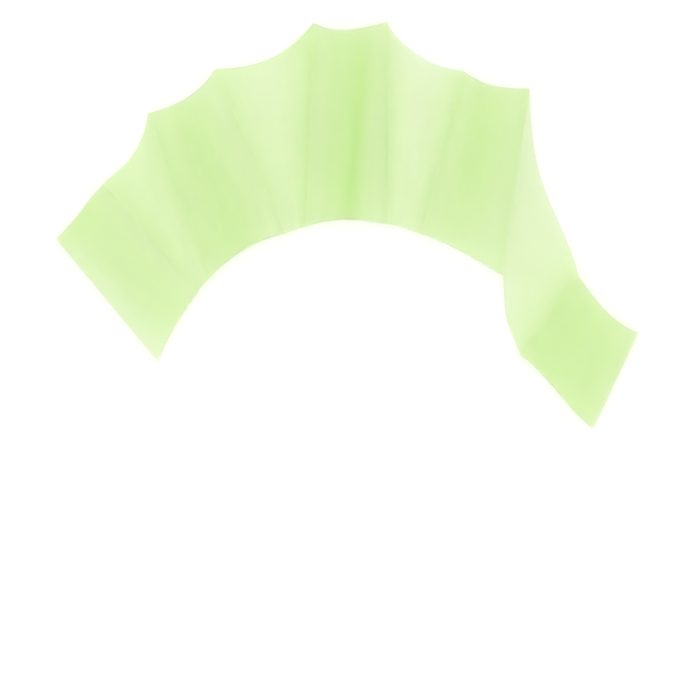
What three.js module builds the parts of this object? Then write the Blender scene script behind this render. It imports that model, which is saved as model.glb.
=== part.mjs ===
// A webbed swim glove: five open-ended finger sleeves joined by four thin webs, moulded in one
// piece of soft silicone. It lies as it does out of the water, resting on the flat soles of its
// sleeves, with +X towards the thumb, +Y towards the fingertips and +Z up. The origin is on the
// surface that it lies on, under the middle of its outline. Lengths are in millimetres.
import * as THREE from "three";

// Main sizes
const SLEEVE_LENGTH = 67.5; // the middle finger's sleeve, which is the longest
const SLEEVE_WIDTH = 27.5; // the same sleeve at the palm edge
const SLEEVE_HEIGHT = 8.9; // the same sleeve, half-way along
const WEB_WIDTH = 26; // the thumb's web on the palm edge, which is the widest
const SCALLOP = 4; // how deep a bay the fingertips' edge has between two corners

// Walls and heights
const SLEEVE_WALL = 1.1; // a sleeve's wall over and under the finger
const SIDE_WALL = 1.4; // the same wall where it turns over beside the finger
const WEB_THICKNESS = 1;
const SEAM_HEIGHT = 2.9; // the middle of the web where it meets a sleeve, above the surface
const WEB_LIFT = 0.3; // the air left under a web where it hangs lowest
const SOLE_SHARE = 0.52; // part of a sleeve's width that lies flat
const MOUTH_SHARE = 0.93; // a sleeve's height at its mouths, against that half-way along
const DOME_POWER = 1.12; // 1 is an elliptical top, and more pinches it towards the seams
const SAG_POWER = 0.7; // 1 is a parabolic sag, and less drops it faster beside the seams
const PALM_FOLD_SHARE = 0.35; // a web fold's rise at the palm edge, against that at the tips

// The sleeves from the little finger to the thumb. Lengths, widths, heights and scoops are shares
// of the sleeve sizes and the scallop above. heading is how far the finger leans towards the
// thumb, and the cuts are the slant of the two mouths against the finger, in degrees. The scoops
// are how far the middle of a mouth's edge lies inside its corners.
const SLEEVES = [
  {
    name: "little",
    heading: -40.2,
    length: 0.74,
    height: 0.89,
    palmWidth: 0.915,
    tipWidth: 0.87,
    palmCut: 19.5,
    tipCut: 9.3,
    palmScoop: 0.05,
    tipScoop: -0.1,
  },
  {
    name: "ring",
    heading: -22,
    length: 0.86,
    height: 0.95,
    palmWidth: 1.035,
    tipWidth: 0.95,
    palmCut: 7,
    tipCut: 10.5,
    palmScoop: 0.25,
    tipScoop: 0.5,
  },
  {
    name: "middle",
    heading: 1.2,
    length: 1,
    height: 1,
    palmWidth: 1,
    tipWidth: 0.895,
    palmCut: 2.6,
    tipCut: 2.1,
    palmScoop: 0.3,
    tipScoop: 0.45,
  },
  {
    name: "index",
    heading: 11,
    length: 0.875,
    height: 0.98,
    palmWidth: 1.085,
    tipWidth: 0.83,
    palmCut: -16.8,
    tipCut: -2.9,
    palmScoop: 0.1,
    tipScoop: 0.4,
  },
  {
    name: "thumb",
    heading: 30.6,
    length: 0.48,
    height: 0.99,
    palmWidth: 1.225,
    tipWidth: 0.98,
    palmCut: -14.2,
    tipCut: -13.7,
    palmScoop: -0.35,
    tipScoop: 0.4,
  },
];

// The webs between them. gap is a web's width on the palm edge, as a share of the widest, and
// gapHeading the way it runs there, in degrees from +X. The scoops are as above, and lean moves
// the deepest point of a scoop from the web's middle towards the thumb. The sags are shares of the
// room under the seams.
const WEBS = [
  { gap: 0.27, gapHeading: 52, palmScoop: -0.1, tipScoop: 0.75, lean: 0, palmSag: 0.25, tipSag: 0.7 },
  { gap: 0.27, gapHeading: 18, palmScoop: -0.15, tipScoop: 1.05, lean: 0, palmSag: 0.25, tipSag: 0.75 },
  { gap: 0.44, gapHeading: -14.5, palmScoop: -0.15, tipScoop: 0.9, lean: -0.2, palmSag: 0.4, tipSag: 0.75 },
  { gap: 1, gapHeading: -76.7, palmScoop: -0.7, tipScoop: 1.2, lean: -0.5, palmSag: 0.8, tipSag: 0.95 },
];

// Folds that run along the webs, from the palm edge to the tips. web counts from the little
// finger, palmAt and tipAt are shares of the web's width, rise is a share of the room under the
// seams, and width a share of the web's width.
const FOLDS = [
  { web: 0, palmAt: 0.5, tipAt: 0.55, rise: 0.42, width: 0.16 },
  { web: 1, palmAt: 0.5, tipAt: 0.5, rise: 0.6, width: 0.12 },
  { web: 1, palmAt: 0.75, tipAt: 0.78, rise: -0.2, width: 0.1 },
  { web: 2, palmAt: 0.35, tipAt: 0.4, rise: 0.5, width: 0.14 },
  { web: 2, palmAt: 0.75, tipAt: 0.72, rise: -0.2, width: 0.1 },
  { web: 3, palmAt: 0.3, tipAt: 0.25, rise: 0.22, width: 0.16 },
  { web: 3, palmAt: 0.78, tipAt: 0.8, rise: 0.3, width: 0.12 },
];

// Long shallow dents in the tops of the sleeves. palmAt and tipAt run from -1 at the seam on the
// little finger's side to 1 at the other, start and end are shares of the length, depth is a
// share of the sleeve's height and width a share of its half width.
const DENTS = [
  { sleeve: "little", palmAt: 0.1, tipAt: -0.1, start: 0.05, end: 0.9, depth: 0.06, width: 0.35 },
  { sleeve: "ring", palmAt: 0, tipAt: -0.1, start: 0, end: 0.95, depth: 0.1, width: 0.22 },
  { sleeve: "middle", palmAt: 0.08, tipAt: 0.3, start: 0, end: 0.95, depth: 0.14, width: 0.2 },
  { sleeve: "index", palmAt: -0.1, tipAt: -0.2, start: 0.3, end: 1, depth: 0.12, width: 0.25 },
  { sleeve: "thumb", palmAt: -0.3, tipAt: -0.35, start: 0.25, end: 1, depth: 0.08, width: 0.3 },
];

// Facets
const STATIONS = 8; // steps from the palm edge to the fingertips
const SLEEVE_FACETS = 16; // across a sleeve's top, and as many across its sole
const WEB_FACETS = 10;

const SILICONE = new THREE.MeshStandardMaterial({
  name: "silicone",
  color: new THREE.Color().setRGB(0.83, 0.95, 0.66, THREE.SRGBColorSpace),
  roughness: 0.45,
  metalness: 0,
});

const SEAM_TOP = SEAM_HEIGHT + WEB_THICKNESS / 2;
const SEAM_UNDERSIDE = SEAM_HEIGHT - WEB_THICKNESS / 2;
const WEB_ROOM = SEAM_UNDERSIDE - WEB_LIFT; // the room under the seams for sag and folds

// Lays the sleeves side by side along the palm edge, each a web's gap from the last.
function layOut() {
  const corner = new THREE.Vector2();
  return SLEEVES.map((sleeve, i) => {
    const heading = THREE.MathUtils.degToRad(sleeve.heading);
    const along = new THREE.Vector2(Math.sin(heading), Math.cos(heading));
    const across = new THREE.Vector2(along.y, -along.x);
    const edge = (width, cut) =>
      across
        .clone()
        .addScaledVector(along, Math.tan(THREE.MathUtils.degToRad(cut)))
        .multiplyScalar(width * SLEEVE_WIDTH);
    const palmEdge = edge(sleeve.palmWidth, sleeve.palmCut);
    const tipEdge = edge(sleeve.tipWidth, sleeve.tipCut);
    const palmLeft = corner.clone();
    const palmRight = palmLeft.clone().add(palmEdge);
    const tipLeft = palmLeft
      .clone()
      .addScaledVector(palmEdge, 0.5)
      .addScaledVector(along, sleeve.length * SLEEVE_LENGTH)
      .addScaledVector(tipEdge, -0.5);
    const tipRight = tipLeft.clone().add(tipEdge);
    if (WEBS[i]) {
      const gapHeading = THREE.MathUtils.degToRad(WEBS[i].gapHeading);
      const gap = new THREE.Vector2(Math.cos(gapHeading), Math.sin(gapHeading));
      corner.copy(palmRight).addScaledVector(gap, WEBS[i].gap * WEB_WIDTH);
    }
    return { ...sleeve, along, palmLeft, palmRight, tipLeft, tipRight };
  });
}

// The place in plan of a point of a sleeve. side runs from -1 to 1 across it and station from 0
// at the palm edge to 1 at the fingertip.
function sleevePlan(sleeve, side, station) {
  const share = (side + 1) / 2;
  const palm = sleeve.palmLeft.clone().lerp(sleeve.palmRight, share);
  const tip = sleeve.tipLeft.clone().lerp(sleeve.tipRight, share);
  const scoop = SCALLOP * THREE.MathUtils.lerp(sleeve.palmScoop, -sleeve.tipScoop, station);
  return palm.lerp(tip, station).addScaledVector(sleeve.along, scoop * (1 - side * side));
}

// The place in plan of a point of the web between two sleeves. share runs from 0 to 1 across it.
function webPlan(web, left, right, share, station) {
  const seam = (sleeve, side) => sleevePlan(sleeve, side, station);
  const along = left.along.clone().lerp(right.along, share).normalize();
  const leaning = share - web.lean * share * (1 - share) * 2;
  const scoop = SCALLOP * THREE.MathUtils.lerp(web.palmScoop, -web.tipScoop, station);
  return seam(left, 1)
    .lerp(seam(right, -1), share)
    .addScaledVector(along, scoop * 4 * leaning * (1 - leaning));
}

const bump = (offset, width) => Math.exp(-((offset / width) ** 2));

// How far the top of a sleeve is pressed in.
function dentDepth(sleeve, side, station) {
  return DENTS.filter((dent) => dent.sleeve === sleeve.name)
    .map((dent) => {
      const middle = THREE.MathUtils.lerp(dent.palmAt, dent.tipAt, station);
      const reach = (station - dent.start) / (dent.end - dent.start);
      const fade = Math.sqrt(Math.sin(Math.PI * THREE.MathUtils.clamp(reach, 0, 1)));
      return dent.depth * sleeve.height * SLEEVE_HEIGHT * fade * bump(side - middle, dent.width);
    })
    .reduce((sum, depth) => sum + depth, 0);
}

// The height of the middle of a web.
function webHeight(index, share, station) {
  const web = WEBS[index];
  const span = 4 * share * (1 - share);
  const sag = THREE.MathUtils.lerp(web.palmSag, web.tipSag, station) * span ** SAG_POWER;
  const folds = FOLDS.filter((fold) => fold.web === index)
    .map((fold) => {
      const middle = THREE.MathUtils.lerp(fold.palmAt, fold.tipAt, station);
      const grown = THREE.MathUtils.lerp(PALM_FOLD_SHARE, 1, station);
      return fold.rise * grown * Math.sqrt(span) * bump(share - middle, fold.width);
    })
    .reduce((sum, rise) => sum + rise, 0);
  return SEAM_HEIGHT - WEB_ROOM * (sag - folds);
}

// Points and triangles of the whole moulding
const points = [];
const triangles = [];

function addPoint(plan, height) {
  points.push(new THREE.Vector3(plan.x, plan.y, height));
  return points.length - 1;
}

function addQuad(a, b, c, d) {
  triangles.push(a, b, c, a, c, d);
}

// Rows of points by station, joined by a skin whose front faces up when the points of a row run
// towards the thumb.
function addSkin(rows, facesUp) {
  for (let j = 0; j + 1 < rows.length; j++) {
    for (let k = 0; k + 1 < rows[j].length; k++) {
      const quad = [rows[j][k], rows[j][k + 1], rows[j + 1][k + 1], rows[j + 1][k]];
      addQuad(...(facesUp ? quad : quad.reverse()));
    }
  }
}

// The cut edge between an upper and a lower row, at the palm edge or the fingertips.
function addEdge(upper, lower, facesTip) {
  for (let k = 0; k + 1 < upper.length; k++) {
    const quad = [upper[k], upper[k + 1], lower[k + 1], lower[k]];
    addQuad(...(facesTip ? quad : quad.reverse()));
  }
}

// One station of a sleeve: its outside and inside, each a top row and a sole row.
function sleeveSection(sleeve, station) {
  const width = THREE.MathUtils.lerp(sleeve.palmWidth, sleeve.tipWidth, station) * SLEEVE_WIDTH;
  const inset = 1 - (2 * SIDE_WALL) / width;
  const swell = THREE.MathUtils.lerp(MOUTH_SHARE, 1, Math.sin(Math.PI * station));
  const crown = sleeve.height * SLEEVE_HEIGHT * swell;
  const section = { top: [], sole: [], ceiling: [], floor: [] };
  for (let k = 0; k <= SLEEVE_FACETS; k++) {
    const angle = (Math.PI * k) / SLEEVE_FACETS;
    const side = -Math.cos(angle);
    const lift = Math.max(0, Math.sin(angle)) ** DOME_POWER;
    const turn = Math.max(0, Math.abs(side) - SOLE_SHARE) / (1 - SOLE_SHARE);
    const rise = 1 - Math.sqrt(Math.max(0, 1 - turn * turn));
    const dent = dentDepth(sleeve, side, station);
    const outside = sleevePlan(sleeve, side, station);
    const inside = sleevePlan(sleeve, side * inset, station);
    const ceiling = SEAM_TOP + (crown - SLEEVE_WALL - SEAM_TOP) * lift;
    const floor = SLEEVE_WALL + (SEAM_UNDERSIDE - SLEEVE_WALL) * rise;
    section.top.push(addPoint(outside, SEAM_TOP + (crown - SEAM_TOP) * lift - dent * lift));
    section.sole.push(addPoint(outside, SEAM_UNDERSIDE * rise));
    section.ceiling.push(addPoint(inside, ceiling - dent * lift));
    section.floor.push(addPoint(inside, floor));
  }
  return section;
}

// A sleeve's skins and mouths. isFirst and isLast say which of its sides no web closes.
function addSleeve(sleeve, isFirst, isLast) {
  const sections = [];
  for (let j = 0; j <= STATIONS; j++) {
    sections.push(sleeveSection(sleeve, j / STATIONS));
  }
  const rows = (name) => sections.map((section) => section[name]);
  const side = (first, second, k) => sections.map((s) => [s[first].at(k), s[second].at(k)]);
  addSkin(rows("top"), true);
  addSkin(rows("sole"), false);
  addSkin(rows("ceiling"), false);
  addSkin(rows("floor"), true);
  addSkin(side("floor", "ceiling", 0), false);
  addSkin(side("floor", "ceiling", -1), true);
  if (isFirst) {
    addSkin(side("sole", "top", 0), true);
  }
  if (isLast) {
    addSkin(side("sole", "top", -1), false);
  }
  for (const [section, facesTip] of [
    [sections[0], false],
    [sections[STATIONS], true],
  ]) {
    const { top, sole, ceiling, floor } = section;
    addEdge(top, ceiling, facesTip);
    addEdge(floor, sole, facesTip);
    addEdge([top.at(0), ceiling.at(0)], [sole.at(0), floor.at(0)], facesTip);
    addEdge([ceiling.at(-1), top.at(-1)], [floor.at(-1), sole.at(-1)], facesTip);
  }
  return sections;
}

// The web between two sleeves, from the seam points of the one to those of the other.
function addWeb(index, left, right, leftSections, rightSections) {
  const upper = [];
  const under = [];
  for (let j = 0; j <= STATIONS; j++) {
    const station = j / STATIONS;
    const topRow = [leftSections[j].top.at(-1)];
    const underRow = [leftSections[j].sole.at(-1)];
    for (let k = 1; k < WEB_FACETS; k++) {
      const share = k / WEB_FACETS;
      const plan = webPlan(WEBS[index], left, right, share, station);
      const height = webHeight(index, share, station);
      topRow.push(addPoint(plan, height + WEB_THICKNESS / 2));
      underRow.push(addPoint(plan, height - WEB_THICKNESS / 2));
    }
    topRow.push(rightSections[j].top.at(0));
    underRow.push(rightSections[j].sole.at(0));
    upper.push(topRow);
    under.push(underRow);
  }
  addSkin(upper, true);
  addSkin(under, false);
  addEdge(upper[0], under[0], false);
  addEdge(upper[STATIONS], under[STATIONS], true);
}

const sleeves = layOut();
const sections = sleeves.map((sleeve, i) =>
  addSleeve(sleeve, i === 0, i === sleeves.length - 1),
);
WEBS.forEach((web, i) => addWeb(i, sleeves[i], sleeves[i + 1], sections[i], sections[i + 1]));

const shape = new THREE.BufferGeometry().setFromPoints(points);
shape.setIndex(triangles);
shape.computeBoundingBox();
const middle = shape.boundingBox.getCenter(new THREE.Vector3());
shape.translate(-middle.x, -middle.y, -shape.boundingBox.min.z);
shape.computeVertexNormals();

const glove = new THREE.Mesh(shape, SILICONE);
glove.name = "webbed_glove";

const part = new THREE.Group();
part.add(glove);

export default part;
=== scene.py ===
"""The looks of a webbed swim glove: one soft, see-through silicone moulding that lies on white."""
import math

import bpy
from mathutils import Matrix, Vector


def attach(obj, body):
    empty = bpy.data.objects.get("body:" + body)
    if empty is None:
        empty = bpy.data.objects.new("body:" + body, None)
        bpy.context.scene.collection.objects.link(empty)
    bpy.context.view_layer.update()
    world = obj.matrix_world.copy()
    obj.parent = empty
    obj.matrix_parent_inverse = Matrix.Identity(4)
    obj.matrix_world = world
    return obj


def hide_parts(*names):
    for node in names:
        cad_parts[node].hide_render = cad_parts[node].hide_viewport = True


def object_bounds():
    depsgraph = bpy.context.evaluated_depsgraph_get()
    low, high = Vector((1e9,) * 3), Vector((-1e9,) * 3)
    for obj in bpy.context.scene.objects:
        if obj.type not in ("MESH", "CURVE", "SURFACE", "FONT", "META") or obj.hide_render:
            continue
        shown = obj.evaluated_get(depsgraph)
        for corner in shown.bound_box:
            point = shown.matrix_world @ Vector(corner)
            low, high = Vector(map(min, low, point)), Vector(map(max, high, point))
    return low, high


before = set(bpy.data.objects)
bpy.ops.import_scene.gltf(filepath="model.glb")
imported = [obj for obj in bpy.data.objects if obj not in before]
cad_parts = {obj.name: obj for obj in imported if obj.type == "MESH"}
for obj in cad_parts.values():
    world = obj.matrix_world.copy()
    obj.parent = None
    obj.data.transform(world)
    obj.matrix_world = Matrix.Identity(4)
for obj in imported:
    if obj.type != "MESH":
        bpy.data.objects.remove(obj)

CAD_LOW, CAD_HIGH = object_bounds()
CAD_MIDDLE = (CAD_LOW + CAD_HIGH) / 2
MM = 0.001

# Main sizes
SLEEVE_LENGTH = 67.5 * MM
SLEEVE_WIDTH = 27.5 * MM
SLEEVE_HEIGHT = 8.9 * MM
WEB_WIDTH = 26 * MM
SCALLOP = 4 * MM

# Walls and heights
SLEEVE_WALL = 1.1 * MM
SIDE_WALL = 1.4 * MM
WEB_THICKNESS = 1 * MM
SEAM_HEIGHT = 2.9 * MM
WEB_LIFT = 0.3 * MM
CAVITY_SEAM_HALF = 0.2 * MM
SEAM_TOP = SEAM_HEIGHT + WEB_THICKNESS / 2
SEAM_UNDERSIDE = SEAM_HEIGHT - WEB_THICKNESS / 2
WEB_ROOM = SEAM_UNDERSIDE - WEB_LIFT

# The section: the flat share of a sole, the share of its height that a sleeve has at its mouths,
# how round the sleeves' tops and the webs' sags are, and the share of a fold's rise at the palm
SOLE_SHARE = 0.52
MOUTH_SHARE = 0.93
DOME_POWER = 2
SAG_POWER = 1.3
PALM_FOLD_SHARE = 0.35

# The sleeves from the little finger to the thumb, as shares of the sizes above and in degrees
SLEEVES = [
    dict(name="little", heading=-40.2, length=0.74, height=0.89, palm_width=0.915, tip_width=0.87,
         palm_cut=19.5, tip_cut=9.3, palm_scoop=0.34, tip_scoop=0.18, palm_swing=-0.12, tip_swing=-0.14),
    dict(name="ring", heading=-22, length=0.86, height=0.95, palm_width=1.035, tip_width=0.95,
         palm_cut=7, tip_cut=10.5, palm_scoop=0.6, tip_scoop=0.8, palm_swing=0.04, tip_swing=0.18),
    dict(name="middle", heading=1.2, length=1, height=1, palm_width=1, tip_width=0.895,
         palm_cut=2.6, tip_cut=2.1, palm_scoop=0.54, tip_scoop=0.68, palm_swing=-0.1, tip_swing=-0.27),
    dict(name="index", heading=11, length=0.875, height=0.98, palm_width=1.085, tip_width=0.83,
         palm_cut=-16.8, tip_cut=-2.9, palm_scoop=0.28, tip_scoop=0.62, palm_swing=-0.08, tip_swing=-0.1),
    dict(name="thumb", heading=30.6, length=0.48, height=0.99, palm_width=1.225, tip_width=0.98,
         palm_cut=-14.2, tip_cut=-13.7, palm_scoop=0.1, tip_scoop=0.66, palm_swing=-0.38, tip_swing=0.1),
]

# How far the corners of the sleeves' ends reach out, in millimetres
REACHES = {
    "little": dict(palm_left=1.2, palm_right=0.55, tip_left=0.3, tip_right=0.1),
    "ring": dict(palm_left=0.85, palm_right=0.45, tip_left=0.2, tip_right=0.6),
    "middle": dict(palm_left=0.35, palm_right=0.2, tip_left=0.15, tip_right=0.1),
    "index": dict(palm_left=0.4, palm_right=0, tip_left=0.5, tip_right=0.25),
    "thumb": dict(palm_left=1.1, palm_right=1.4, tip_left=0.3, tip_right=0.8),
}

# The webs between them: gaps are shares of WEB_WIDTH, scoops and swings of SCALLOP, and sags of the
# room under the web. A step is in millimetres
WEBS = [
    dict(gap=0.27, gap_heading=52, palm_scoop=0.06, tip_scoop=0.86, palm_swing=-0.09, tip_swing=0.42,
         lean=0, palm_sag=0.25, tip_sag=0.7, tip_step=0),
    dict(gap=0.27, gap_heading=18, palm_scoop=0.06, tip_scoop=1.17, palm_swing=0, tip_swing=0.28,
         lean=0, palm_sag=0.25, tip_sag=0.75, tip_step=0),
    dict(gap=0.44, gap_heading=-14.5, palm_scoop=0.1, tip_scoop=1.03, palm_swing=-0.05, tip_swing=0.13,
         lean=-0.2, palm_sag=0.4, tip_sag=0.75, tip_step=1.6),
    dict(gap=1, gap_heading=-76.7, palm_scoop=-1.04, tip_scoop=1.84, palm_swing=-0.2, tip_swing=-0.1,
         lean=-0.5, palm_sag=0.8, tip_sag=0.95, tip_step=0),
]

# A step in a web's tip edge, which rises beside the left seam and fades across the web
STEP_RISE = 0.02
STEP_FADE = 0.16
STEP_POWER = 8

# Folds along the webs: places and widths are shares of the web's width, rises of the room under it
FOLDS = [
    dict(web=0, palm_at=0.5, tip_at=0.55, rise=0.42, width=0.16),
    dict(web=1, palm_at=0.5, tip_at=0.5, rise=0.6, width=0.12),
    dict(web=1, palm_at=0.75, tip_at=0.78, rise=-0.2, width=0.1),
    dict(web=2, palm_at=0.35, tip_at=0.4, rise=0.5, width=0.14),
    dict(web=2, palm_at=0.75, tip_at=0.72, rise=-0.2, width=0.1),
    dict(web=3, palm_at=0.3, tip_at=0.25, rise=0.22, width=0.16),
    dict(web=3, palm_at=0.78, tip_at=0.8, rise=0.3, width=0.12),
]

# Long dents in the sleeves' tops: placed from -1 at the seam on the little finger's side to 1,
# from start to end along the sleeve, and as deep as a share of its height
DENTS = [
    dict(sleeve="little", palm_at=0.1, tip_at=-0.1, start=0.05, end=0.9, depth=0.06, width=0.35),
    dict(sleeve="ring", palm_at=0, tip_at=-0.1, start=0, end=0.95, depth=0.1, width=0.22),
    dict(sleeve="middle", palm_at=0.08, tip_at=0.3, start=0, end=0.95, depth=0.14, width=0.2),
    dict(sleeve="index", palm_at=-0.1, tip_at=-0.2, start=0.3, end=1, depth=0.12, width=0.25),
    dict(sleeve="thumb", palm_at=-0.3, tip_at=-0.35, start=0.25, end=1, depth=0.08, width=0.3),
]

# The share of red, green and blue light that a wall of tone 1 lets through
WEB_TINT = (0.862, 0.934, 0.732)
SLEEVE_TINT = (0.856, 0.951, 0.694)

# What a web's tone has beyond the base tone takes the deep tint, which is greener. That includes the
# painted shade beside the seams and the painted light and shade along the cut edges
WEB_BASE_TONE = 0.9
WEB_DEEP_TINT = (0.88, 0.985, 0.72)

# Tones: how deep the green looks through a whole sleeve or web. A web's are those of its middle at the
# palm and the tips, and of its left and right seam, where the deeper tone is painted shade. Its rims add
# painted light and shade along the cut edges
SLEEVE_TONES = {"little": 1.35, "ring": 1.42, "middle": 1.44, "index": 1.4, "thumb": 1.56}
WEB_TONES = [
    dict(palm=1.21, tip=1.11, left=1.42, right=1.44, palm_rim=0.2, tip_rim=0.14),
    dict(palm=1.17, tip=0.91, left=1.36, right=1.68, palm_rim=0.05, tip_rim=0.2),
    dict(palm=1.1, tip=0.83, left=1.4, right=1.45, palm_rim=0, tip_rim=-0.1),
    dict(palm=0.98, tip=0.92, left=1.04, right=1.41, palm_rim=-0.05, tip_rim=-0.2),
]

# The part of a sleeve's tone that its inner skin takes
INNER_SHARE = 0.4

# How far the painted shade beside a seam reaches into a web, as a share of the web's width
SEAM_FADE = 0.17

# Strips of painted light and shade along the cut edges, and of painted light beside the seams, which
# eases their shade
RIM_PAINTED_HIGHLIGHT = -0.05
RIM_WIDTH = 1.6 * MM
WEB_RIM_WIDTH = 3 * MM
SEAM_PAINTED_LIGHT = 0.2
SEAM_PAINTED_LIGHT_WIDTH = 1.1 * MM

# Painted shade and highlights: darker bands and lighter streaks along the sleeves, placed as the dents
# are
SHADE_AND_HIGHLIGHT_BANDS = [
    dict(sleeve="little", palm_at=-1.05, tip_at=-1.05, start=-0.4, end=1.1, depth=-0.34, width=0.4),
    dict(sleeve="little", palm_at=0.1, tip_at=0.3, start=0, end=1, depth=0.05, width=0.35),
    dict(sleeve="little", palm_at=1, tip_at=1, start=-0.4, end=1.1, depth=-0.2, width=0.3),
    dict(sleeve="little", palm_at=0, tip_at=0, start=0.88, end=1.3, depth=0.42, width=1.5),
    dict(sleeve="little", palm_at=-0.6, tip_at=-0.6, start=-0.4, end=0.7, depth=-0.12, width=0.4),
    dict(sleeve="ring", palm_at=-0.05, tip_at=-0.15, start=-0.1, end=1.05, depth=0.2, width=0.33),
    dict(sleeve="ring", palm_at=0.85, tip_at=0.75, start=-0.4, end=1.4, depth=-0.27, width=0.4),
    dict(sleeve="ring", palm_at=-0.1, tip_at=-0.1, start=-0.5, end=0.3, depth=0.16, width=0.5),
    dict(sleeve="ring", palm_at=0.9, tip_at=0.9, start=0.88, end=1.5, depth=0.28, width=0.35),
    dict(sleeve="middle", palm_at=-0.05, tip_at=0, start=-0.4, end=1.1, depth=0.2, width=0.5),
    dict(sleeve="middle", palm_at=0.05, tip_at=0.42, start=-0.3, end=1, depth=0.64, width=0.16),
    dict(sleeve="middle", palm_at=0.75, tip_at=0.75, start=-0.5, end=1.1, depth=-0.12, width=0.2),
    dict(sleeve="middle", palm_at=0.7, tip_at=0.8, start=-0.6, end=0.65, depth=-0.13, width=0.32),
    dict(sleeve="middle", palm_at=-0.75, tip_at=-0.72, start=0, end=1.4, depth=-0.12, width=0.2),
    dict(sleeve="middle", palm_at=-0.88, tip_at=-0.88, start=-0.6, end=0.65, depth=-0.13, width=0.2),
    dict(sleeve="index", palm_at=-0.1, tip_at=-0.2, start=0, end=1.1, depth=0.25, width=0.45),
    dict(sleeve="index", palm_at=-0.76, tip_at=-0.78, start=-0.3, end=1.1, depth=-0.14, width=0.16),
    dict(sleeve="index", palm_at=0.62, tip_at=0.66, start=-0.4, end=1.1, depth=-0.1, width=0.2),
    dict(sleeve="index", palm_at=0.88, tip_at=0.88, start=0.7, end=1.2, depth=0.22, width=0.1),
    dict(sleeve="index", palm_at=1, tip_at=1, start=0, end=0.9, depth=-0.35, width=0.07),
    dict(sleeve="index", palm_at=0.89, tip_at=0.89, start=-0.2, end=1.1, depth=0.09, width=0.06),
    dict(sleeve="index", palm_at=0.2, tip_at=0.2, start=-0.3, end=0.4, depth=-0.2, width=0.8),
    dict(sleeve="thumb", palm_at=-0.7, tip_at=-0.6, start=-0.1, end=1.1, depth=0.1, width=0.42),
    dict(sleeve="thumb", palm_at=1.02, tip_at=1.02, start=-0.4, end=1.4, depth=-1.1, width=0.07),
    dict(sleeve="thumb", palm_at=0, tip_at=0, start=0.92, end=1.4, depth=-0.24, width=2),
]

# The silicone, with its clouds, satin and grain
SILICONE_IOR = 1.41
SILICONE_TRANSMISSION = 0.9
CLOUD_SIZE = 9 * MM
CLOUD_DETAIL = 3
CLOUD_DEPTHS = (0.95, 1.05)
SATIN_SIZE = 5 * MM
SATIN_DETAIL = 4
SATIN_ROUGHNESS = (0.36, 0.44)
RIPPLE_SIZE = 4 * MM
RIPPLE_DEPTH = 0.04 * MM
GRAIN_SIZE = 0.35 * MM
GRAIN_DEPTH = 0.003 * MM
RELIEF_DETAIL = 2

# The middle part of a noise, which is spread between two numbers
NOISE_LOW = 0.25
NOISE_HIGH = 0.75

# Steps of the cage, which one level of subdivision doubles
STATIONS = 24
SLEEVE_FACETS = 24
WEB_FACETS = 14

# The photograph's frame, the middle of the glove in it, and the length that one pixel spans there
PHOTO_SIZE_PX = 700
GLOVE_CENTRE_PX = (347, 224)
PIXEL = MM / 3

# The camera, which looks straight down. Its sensor is in millimetres, as its lens is
CAMERA_HEIGHT = 1.2
SENSOR_WIDTH = 36

# The strength of the white sky, at its edge and overhead
WHITE = (1, 1, 1, 1)
SKY_EDGE = 0.93
SKY_TOP = 1.12

# The floor is a matt sheet, lit faintly from below too, which keeps shadows light
FLOOR_HALF = 3
FLOOR_DROP = 0.05 * MM
FLOOR_ROUGHNESS = 0.9
FLOOR_GLOW = 0.05

# How often light may turn, which is more often where it passes through walls
WALL_BOUNCES = 32
DIFFUSE_BOUNCES = 6
GLOSSY_BOUNCES = 8


def lerp(a, b, share):
    return a + (b - a) * share


def clamp(value):
    """A value kept between 0 and 1."""
    return max(0, min(1, value))


def bump(offset, width):
    """1 at no offset, which fades to 0 on both sides."""
    return math.exp(-((offset / width) ** 2))


def arch(share):
    """0 at the shares 0 and 1, and 1 halfway."""
    return 4 * share * (1 - share)


def ease(share):
    """A share from 0 to 1 that starts and ends gently."""
    return share * share * (3 - 2 * share)


def cosine_steps(count):
    """Shares from 0 to 1 that lie closer together at both ends."""
    return [0.5 - 0.5 * math.cos(math.pi * i / count) for i in range(count + 1)]


def end_edge(along, across, width, cut):
    """The straight edge of a sleeve's end, cut at an angle in degrees."""
    return (across + along * math.tan(math.radians(cut))) * width * SLEEVE_WIDTH


def lay_out():
    """Lays the sleeves side by side along the palm edge, each a web's gap from the last."""
    corner = Vector((0, 0))
    corners = []
    laid = []
    for i, sleeve in enumerate(SLEEVES):
        heading = math.radians(sleeve["heading"])
        along = Vector((math.sin(heading), math.cos(heading)))
        across = Vector((along.y, -along.x))
        palm_edge = end_edge(along, across, sleeve["palm_width"], sleeve["palm_cut"])
        tip_edge = end_edge(along, across, sleeve["tip_width"], sleeve["tip_cut"])
        palm_left = corner.copy()
        palm_right = palm_left + palm_edge
        tip_left = palm_left + palm_edge / 2 + along * sleeve["length"] * SLEEVE_LENGTH - tip_edge / 2
        tip_right = tip_left + tip_edge
        corners += [palm_left, palm_right, tip_left, tip_right]
        reach = {name: along * size * MM for name, size in REACHES[sleeve["name"]].items()}
        laid.append(dict(
            sleeve,
            along=along,
            palm_left=palm_left - reach["palm_left"],
            palm_right=palm_right - reach["palm_right"],
            tip_left=tip_left + reach["tip_left"],
            tip_right=tip_right + reach["tip_right"],
        ))
        if i < len(WEBS):
            gap_heading = math.radians(WEBS[i]["gap_heading"])
            gap = Vector((math.cos(gap_heading), math.sin(gap_heading)))
            corner = palm_right + gap * WEBS[i]["gap"] * WEB_WIDTH
    middle = Vector(((min(c.x for c in corners) + max(c.x for c in corners)) / 2,
                     (min(c.y for c in corners) + max(c.y for c in corners)) / 2))
    return laid, middle


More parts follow.
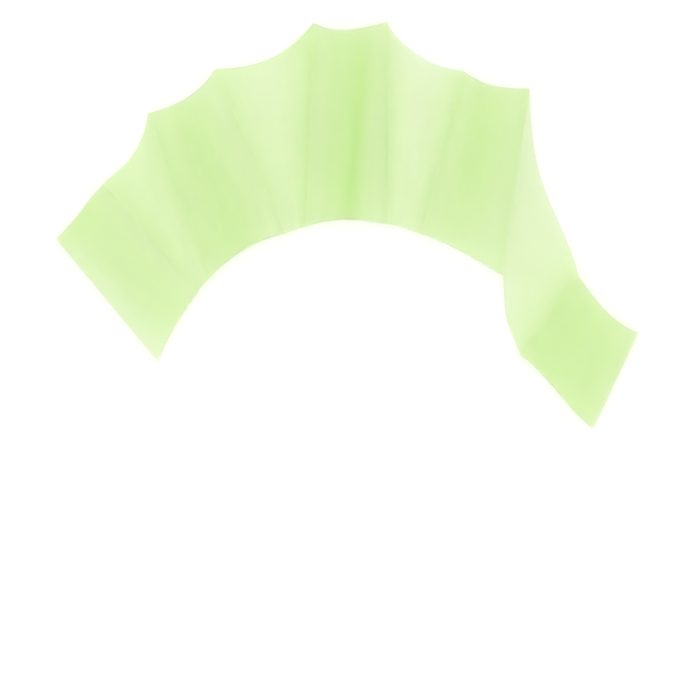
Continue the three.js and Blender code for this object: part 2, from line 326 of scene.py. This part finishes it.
def sleeve_plan(sleeve, side, station):
    """The place in plan of a sleeve's point, side from -1 to 1 and station from palm to tip."""
    share = (side + 1) / 2
    palm = sleeve["palm_left"].lerp(sleeve["palm_right"], share)
    tip = sleeve["tip_left"].lerp(sleeve["tip_right"], share)
    scoop = lerp(sleeve["palm_scoop"], -sleeve["tip_scoop"], station)
    swing = lerp(sleeve["palm_swing"], -sleeve["tip_swing"], station) * side
    return palm.lerp(tip, station) + sleeve["along"] * SCALLOP * (scoop + swing) * arch(share)


def web_plan(web, left, right, share, station):
    """The place in plan of a web's point, share from 0 to 1 across it."""
    along = left["along"].lerp(right["along"], share).normalized()
    leaning = share - web["lean"] * arch(share) / 2
    scoop = lerp(web["palm_scoop"], -web["tip_scoop"], station) * arch(leaning)
    swing = lerp(web["palm_swing"], -web["tip_swing"], station) * arch(share) * (2 * share - 1)
    step_shape = (1 - math.exp(-share / STEP_RISE)) * math.exp(-share / STEP_FADE)
    step = web["tip_step"] * MM * station ** STEP_POWER * step_shape
    seams = sleeve_plan(left, 1, station).lerp(sleeve_plan(right, -1, station), share)
    return seams + along * (SCALLOP * (scoop + swing) - step)


def marks_depth(marks, sleeve, side, station):
    """What the dents, or the painted shade and highlight bands, of a sleeve add up to, each of which
    fades at its ends and sides.
    """
    depth = 0
    for mark in marks:
        if mark["sleeve"] != sleeve["name"]:
            continue
        middle = lerp(mark["palm_at"], mark["tip_at"], station)
        reach = clamp((station - mark["start"]) / (mark["end"] - mark["start"]))
        fade = math.sqrt(max(0, math.sin(math.pi * reach)))
        depth += mark["depth"] * fade * bump(side - middle, mark["width"])
    return depth


def web_height(index, share, station):
    """The height of the middle of a web."""
    web = WEBS[index]
    span = arch(share)
    sag = lerp(web["palm_sag"], web["tip_sag"], station) * span ** SAG_POWER
    folds = 0
    for fold in FOLDS:
        if fold["web"] != index:
            continue
        middle = lerp(fold["palm_at"], fold["tip_at"], station)
        grown = lerp(PALM_FOLD_SHARE, 1, station)
        folds += fold["rise"] * grown * span * bump(share - middle, fold["width"])
    return SEAM_HEIGHT - WEB_ROOM * (sag - folds)


def rim_tone(station, length, palm, tip, width):
    """The painted light and shade that a strip along the palm edge and one along the fingertips' edge add
    to a tone.
    """
    return palm * bump(station * length, width) + tip * bump((1 - station) * length, width)


def sleeve_tone(sleeve, side, station):
    """The tone of a sleeve seen through both walls, with painted shade and highlight bands, painted light
    beside the seams and a painted highlight along its cut edges.
    """
    tone = SLEEVE_TONES[sleeve["name"]] + marks_depth(SHADE_AND_HIGHLIGHT_BANDS, sleeve, side, station)
    # Painted light beside the seams, which eases their shade
    tone -= SEAM_PAINTED_LIGHT * bump((1 - abs(side)) * SLEEVE_WIDTH / 2, SEAM_PAINTED_LIGHT_WIDTH)
    # Painted highlight along the sleeve's palm and tip edges
    return tone + rim_tone(station, sleeve["length"] * SLEEVE_LENGTH, RIM_PAINTED_HIGHLIGHT, RIM_PAINTED_HIGHLIGHT, RIM_WIDTH)


def deepen(tint_with_painted_light, tone):
    """The light that a wall lets through at a tone."""
    return [channel ** max(0, tone) for channel in tint_with_painted_light]


def web_tint_with_painted_light(index, share, station):
    """The colour of a web: the light it lets through, with painted shade that deepens it towards both
    seams and painted light and shade along its cut edges.
    """
    tone = WEB_TONES[index]
    middle = lerp(tone["palm"], tone["tip"], station)
    # Painted shade that deepens the web towards its left and right seams
    left = (tone["left"] - middle) * math.exp(-share / SEAM_FADE)
    right = (tone["right"] - middle) * math.exp(-(1 - share) / SEAM_FADE)
    # Painted light and shade along the palm and tip edges
    rim = rim_tone(station, SLEEVE_LENGTH, tone["palm_rim"], tone["tip_rim"], WEB_RIM_WIDTH)
    deeper = middle + left + right + rim - WEB_BASE_TONE
    return [base ** WEB_BASE_TONE * deep ** deeper for base, deep in zip(WEB_TINT, WEB_DEEP_TINT)]


class Cage:
    """Points and quads of the moulding before it is smoothed."""

    def __init__(self, offset):
        self.offset = offset
        self.points = []
        self.tints_with_painted_light = []
        self.quads = []

    def point(self, plan, height, tint_with_painted_light):
        self.points.append((plan.x + self.offset.x, plan.y + self.offset.y, height))
        self.tints_with_painted_light.extend(tint_with_painted_light)
        self.tints_with_painted_light.append(1)
        return len(self.points) - 1

    def quad(self, corners, flipped):
        self.quads.append(corners[::-1] if flipped else corners)

    def skin(self, rows, faces_up):
        """Joins rows of points whose order runs towards the thumb."""
        for near, far in zip(rows, rows[1:]):
            for k in range(len(near) - 1):
                self.quad([near[k], near[k + 1], far[k + 1], far[k]], not faces_up)

    def edge(self, upper, lower, faces_tip):
        """Closes a cut edge between an upper and a lower row."""
        for k in range(len(upper) - 1):
            self.quad([upper[k], upper[k + 1], lower[k + 1], lower[k]], not faces_tip)

    def sleeve_section(self, sleeve, station):
        """One station of a sleeve: its outside and inside, each a top row and a sole row."""
        width = lerp(sleeve["palm_width"], sleeve["tip_width"], station) * SLEEVE_WIDTH
        inset = 1 - 2 * SIDE_WALL / width
        swell = lerp(MOUTH_SHARE, 1, math.sin(math.pi * station))
        crown = sleeve["height"] * SLEEVE_HEIGHT * swell
        section = dict(top=[], sole=[], ceiling=[], floor=[])
        for k in range(SLEEVE_FACETS + 1):
            angle = math.pi * k / SLEEVE_FACETS
            side = -math.cos(angle)
            lift = max(0, math.sin(angle)) ** DOME_POWER
            rise = ease(max(0, abs(side) - SOLE_SHARE) / (1 - SOLE_SHARE))
            dent = marks_depth(DENTS, sleeve, side, station) * sleeve["height"] * SLEEVE_HEIGHT * lift
            outside = sleeve_plan(sleeve, side, station)
            inside = sleeve_plan(sleeve, side * inset, station)
            top = SEAM_TOP + (crown - SEAM_TOP) * lift - dent
            ceiling = lerp(SEAM_HEIGHT + CAVITY_SEAM_HALF, crown - SLEEVE_WALL, lift) - dent
            floor = lerp(SLEEVE_WALL, SEAM_HEIGHT - CAVITY_SEAM_HALF, rise)
            # The tone carries painted shade and highlights, besides the depth of green through the walls
            tone = sleeve_tone(sleeve, side, station)
            inner_tone = INNER_SHARE * tone * (1 - side * side)
            inner_tint_with_painted_light = deepen(SLEEVE_TINT, inner_tone)
            outer_tint_with_painted_light = deepen(SLEEVE_TINT, tone - inner_tone)
            section["top"].append(self.point(outside, top, outer_tint_with_painted_light))
            section["sole"].append(self.point(outside, SEAM_UNDERSIDE * rise, outer_tint_with_painted_light))
            section["ceiling"].append(self.point(inside, ceiling, inner_tint_with_painted_light))
            section["floor"].append(self.point(inside, floor, inner_tint_with_painted_light))
        return section

    def sleeve(self, sleeve, is_first, is_last):
        """A sleeve's skins and mouths. No web closes the first one's left or the last one's right."""
        sections = [self.sleeve_section(sleeve, station) for station in cosine_steps(STATIONS)]

        def side(low, high, k):
            return [[section[low][k], section[high][k]] for section in sections]

        for name, faces_up in (("top", True), ("sole", False), ("ceiling", False), ("floor", True)):
            self.skin([section[name] for section in sections], faces_up)
        self.skin(side("floor", "ceiling", 0), False)
        self.skin(side("floor", "ceiling", -1), True)
        if is_first:
            self.skin(side("sole", "top", 0), True)
        if is_last:
            self.skin(side("sole", "top", -1), False)
        for section, faces_tip in ((sections[0], False), (sections[-1], True)):
            top, sole, ceiling, floor = (section[k] for k in ("top", "sole", "ceiling", "floor"))
            self.edge(top, ceiling, faces_tip)
            self.edge(floor, sole, faces_tip)
            self.edge([top[0], ceiling[0]], [sole[0], floor[0]], faces_tip)
            self.edge([ceiling[-1], top[-1]], [floor[-1], sole[-1]], faces_tip)
        return sections

    def web(self, index, left, right, left_sections, right_sections):
        """The web between two sleeves, from the seam points of the one to those of the other."""
        upper, under = [], []
        shares = cosine_steps(WEB_FACETS)[1:-1]
        for j, station in enumerate(cosine_steps(STATIONS)):
            top_row = [left_sections[j]["top"][-1]]
            under_row = [left_sections[j]["sole"][-1]]
            for share in shares:
                plan = web_plan(WEBS[index], left, right, share, station)
                height = web_height(index, share, station)
                tint_with_painted_light = web_tint_with_painted_light(index, share, station)
                top_row.append(self.point(plan, height + WEB_THICKNESS / 2, tint_with_painted_light))
                under_row.append(self.point(plan, height - WEB_THICKNESS / 2, tint_with_painted_light))
            top_row.append(right_sections[j]["top"][0])
            under_row.append(right_sections[j]["sole"][0])
            upper.append(top_row)
            under.append(under_row)
        self.skin(upper, True)
        self.skin(under, False)
        self.edge(upper[0], under[0], False)
        self.edge(upper[-1], under[-1], True)


def make_glove(material):
    """The whole moulding as one smoothed mesh."""
    sleeves, middle = lay_out()
    cage = Cage(Vector((CAD_MIDDLE.x, CAD_MIDDLE.y)) - middle)
    last = len(sleeves) - 1
    sections = [cage.sleeve(sleeve, i == 0, i == last) for i, sleeve in enumerate(sleeves)]
    for i in range(len(WEBS)):
        cage.web(i, sleeves[i], sleeves[i + 1], sections[i], sections[i + 1])
    mesh = bpy.data.meshes.new("glove_silicone")
    mesh.from_pydata(cage.points, [], cage.quads)
    mesh.validate()
    # This attribute holds the silicone's green with painted shade and highlights in it
    tint_with_painted_light = mesh.attributes.new("tint_with_painted_light", "FLOAT_COLOR", "POINT")
    tint_with_painted_light.data.foreach_set("color", cage.tints_with_painted_light)
    mesh.polygons.foreach_set("use_smooth", [True] * len(mesh.polygons))
    mesh.materials.append(material)
    glove = bpy.data.objects.new("glove_silicone", mesh)
    bpy.context.scene.collection.objects.link(glove)
    smoothing = glove.modifiers.new("smoothing", "SUBSURF")
    smoothing.levels = 1
    smoothing.render_levels = 1
    return glove


def add_noise(tree, place, size, detail):
    """A noise texture whose lumps are about as large as the given size."""
    noise = tree.nodes.new("ShaderNodeTexNoise")
    noise.inputs["Scale"].default_value = 1 / size
    noise.inputs["Detail"].default_value = detail
    tree.links.new(place, noise.inputs["Vector"])
    return noise.outputs["Fac"]


def add_range(tree, value, low, high):
    """Spreads the middle part of a noise between two numbers."""
    spread = tree.nodes.new("ShaderNodeMapRange")
    spread.inputs["From Min"].default_value = NOISE_LOW
    spread.inputs["From Max"].default_value = NOISE_HIGH
    spread.inputs["To Min"].default_value = low
    spread.inputs["To Max"].default_value = high
    tree.links.new(value, spread.inputs["Value"])
    return spread.outputs["Result"]


def add_relief(tree, place, size, depth):
    """A bump node that raises lumps of about the given size to the given depth."""
    relief = tree.nodes.new("ShaderNodeBump")
    relief.inputs["Strength"].default_value = 1
    relief.inputs["Distance"].default_value = depth
    tree.links.new(add_noise(tree, place, size, RELIEF_DETAIL), relief.inputs["Height"])
    return relief


def silicone():
    """Milky see-through silicone: cloudy in depth of colour, satin in places, and finely grained."""
    material = bpy.data.materials.new("silicone")
    material.use_nodes = True
    tree = material.node_tree
    nodes, links = tree.nodes, tree.links
    shader = nodes["Principled BSDF"]
    place = nodes.new("ShaderNodeTexCoord").outputs["Object"]

    # The base colour reads the tint attribute, whose green has painted shade and highlights in it
    tint_with_painted_light = nodes.new("ShaderNodeAttribute")
    tint_with_painted_light.attribute_name = "tint_with_painted_light"
    clouds = add_range(tree, add_noise(tree, place, CLOUD_SIZE, CLOUD_DETAIL), *CLOUD_DEPTHS)
    cloudy = nodes.new("ShaderNodeGamma")
    links.new(tint_with_painted_light.outputs["Color"], cloudy.inputs["Color"])
    links.new(clouds, cloudy.inputs["Gamma"])
    links.new(cloudy.outputs["Color"], shader.inputs["Base Color"])

    satin = add_range(tree, add_noise(tree, place, SATIN_SIZE, SATIN_DETAIL), *SATIN_ROUGHNESS)
    links.new(satin, shader.inputs["Roughness"])

    ripples = add_relief(tree, place, RIPPLE_SIZE, RIPPLE_DEPTH)
    grain = add_relief(tree, place, GRAIN_SIZE, GRAIN_DEPTH)
    links.new(ripples.outputs["Normal"], grain.inputs["Normal"])
    links.new(grain.outputs["Normal"], shader.inputs["Normal"])

    shader.inputs["IOR"].default_value = SILICONE_IOR
    shader.inputs["Transmission Weight"].default_value = SILICONE_TRANSMISSION
    return material


def make_floor():
    """A wide white sheet just under the glove."""
    corners = [(x * FLOOR_HALF, y * FLOOR_HALF, 0) for x, y in ((-1, -1), (1, -1), (1, 1), (-1, 1))]
    mesh = bpy.data.meshes.new("floor")
    mesh.from_pydata(corners, [], [(0, 1, 2, 3)])
    floor = bpy.data.objects.new("floor", mesh)
    floor.location.z = -FLOOR_DROP
    bpy.context.scene.collection.objects.link(floor)
    material = bpy.data.materials.new("floor")
    material.use_nodes = True
    shader = material.node_tree.nodes["Principled BSDF"]
    shader.inputs["Base Color"].default_value = WHITE
    shader.inputs["Roughness"].default_value = FLOOR_ROUGHNESS
    shader.inputs["Specular IOR Level"].default_value = 0
    shader.inputs["Emission Color"].default_value = WHITE
    shader.inputs["Emission Strength"].default_value = FLOOR_GLOW
    mesh.materials.append(material)


def make_light():
    """An even white sky, a little brighter overhead."""
    world = bpy.data.worlds.new("studio")
    world.use_nodes = True
    nodes, links = world.node_tree.nodes, world.node_tree.links
    direction = nodes.new("ShaderNodeSeparateXYZ")
    links.new(nodes.new("ShaderNodeTexCoord").outputs["Generated"], direction.inputs["Vector"])
    height = nodes.new("ShaderNodeMapRange")
    height.interpolation_type = "SMOOTHSTEP"
    height.inputs["From Min"].default_value = 0
    height.inputs["From Max"].default_value = 1
    height.inputs["To Min"].default_value = SKY_EDGE
    height.inputs["To Max"].default_value = SKY_TOP
    links.new(direction.outputs["Z"], height.inputs["Value"])
    background = nodes["Background"]
    background.inputs["Color"].default_value = WHITE
    links.new(height.outputs["Result"], background.inputs["Strength"])
    bpy.context.scene.world = world


def make_camera():
    """A camera straight above, so placed that the glove lies where the photograph has it."""
    optics = bpy.data.cameras.new("camera")
    optics.sensor_width = SENSOR_WIDTH
    optics.lens = SENSOR_WIDTH * CAMERA_HEIGHT / (PHOTO_SIZE_PX * PIXEL)
    camera = bpy.data.objects.new("camera", optics)
    camera.location = (
        CAD_MIDDLE.x + (PHOTO_SIZE_PX / 2 - GLOVE_CENTRE_PX[0]) * PIXEL,
        CAD_MIDDLE.y - (PHOTO_SIZE_PX / 2 - GLOVE_CENTRE_PX[1]) * PIXEL,
        SEAM_HEIGHT + CAMERA_HEIGHT,
    )
    bpy.context.scene.collection.objects.link(camera)
    bpy.context.scene.camera = camera


def set_light_paths():
    """Plain colours, and light that reaches the floor through all the moulding's walls."""
    scene = bpy.context.scene
    scene.view_settings.view_transform = "Standard"
    scene.cycles.max_bounces = WALL_BOUNCES
    scene.cycles.transmission_bounces = WALL_BOUNCES
    scene.cycles.diffuse_bounces = DIFFUSE_BOUNCES
    scene.cycles.glossy_bounces = GLOSSY_BOUNCES
    scene.cycles.caustics_refractive = True
    scene.cycles.caustics_reflective = True
    scene.cycles.blur_glossy = 0


make_camera()
make_floor()
make_light()
glove = make_glove(silicone())
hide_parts("webbed_glove")
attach(glove, "root")
set_light_paths()
